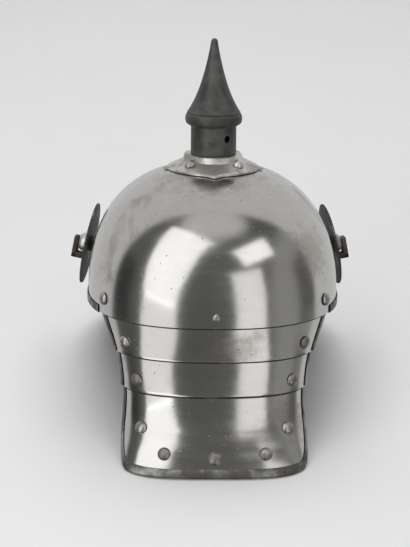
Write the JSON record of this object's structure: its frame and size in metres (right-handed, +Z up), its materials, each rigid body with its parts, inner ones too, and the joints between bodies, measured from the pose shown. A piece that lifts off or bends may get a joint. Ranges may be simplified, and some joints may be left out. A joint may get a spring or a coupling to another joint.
{
  "type": "cuirassier helmet",
  "caption": "Cavalry helmet of polished steel sheet with a spike, a riveted lobster tail, a peak and side discs, resting on its rims.",
  "frame": {"origin": "centre of the outline seen from above, on the surface that the helmet rests on", "axes": "+Z up, +Y towards the helmet's front (the peak), +X towards the wearer's right; the tail is at -Y"},
  "size_m": [0.2306, 0.2922, 0.2763],
  "materials": {
    "steel": "polished sheet with fine scratches, pits and brown tarnish",
    "edging": "folded strip, dull and worn bright on its crest",
    "zinc": "dark grey, matt, streaked along its length",
    "white_metal": "warm grey, satin, tarnished round the edges",
    "grey_disc": "mottled grey, chipped",
    "post": "brown tarnish"
  },
  "bodies": {
    "root": {"skull": "steel", "lame_upper": "steel", "lame_lower": "steel", "tail_plate": "steel", "peak": "steel", "rivet_skull_left": "steel", "rivet_skull_right": "steel", "rivet_lame_upper_left": "steel", "rivet_lame_upper_right": "steel", "rivet_lame_lower_left": "steel", "rivet_lame_lower_right": "steel", "rivet_tail_side_left": "steel", "rivet_tail_side_right": "steel", "rivet_tail_rim_left": "steel", "rivet_tail_rim_right": "steel", "rivet_tail_middle": "steel", "vent_bead": "steel", "rivet_peak_outer_left": "steel", "rivet_peak_inner_left": "steel", "rivet_peak_inner_right": "steel", "rivet_peak_outer_right": "steel", "tail_binding": "edging", "peak_binding": "edging", "lame_upper_binding_left": "edging", "lame_upper_binding_right": "edging", "lame_lower_binding_left": "edging", "lame_lower_binding_right": "edging", "skull_binding_left": "edging", "skull_binding_right": "edging", "spike_base": "white_metal", "base_stud_1": "white_metal", "base_stud_2": "white_metal", "base_stud_3": "white_metal", "base_stud_4": "white_metal", "spike": "zinc", "disc_left": "grey_disc", "disc_right": "grey_disc", "nut_left": "white_metal", "nut_right": "white_metal", "post_left": "post", "post_right": "post"}
  },
  "joints": []
}
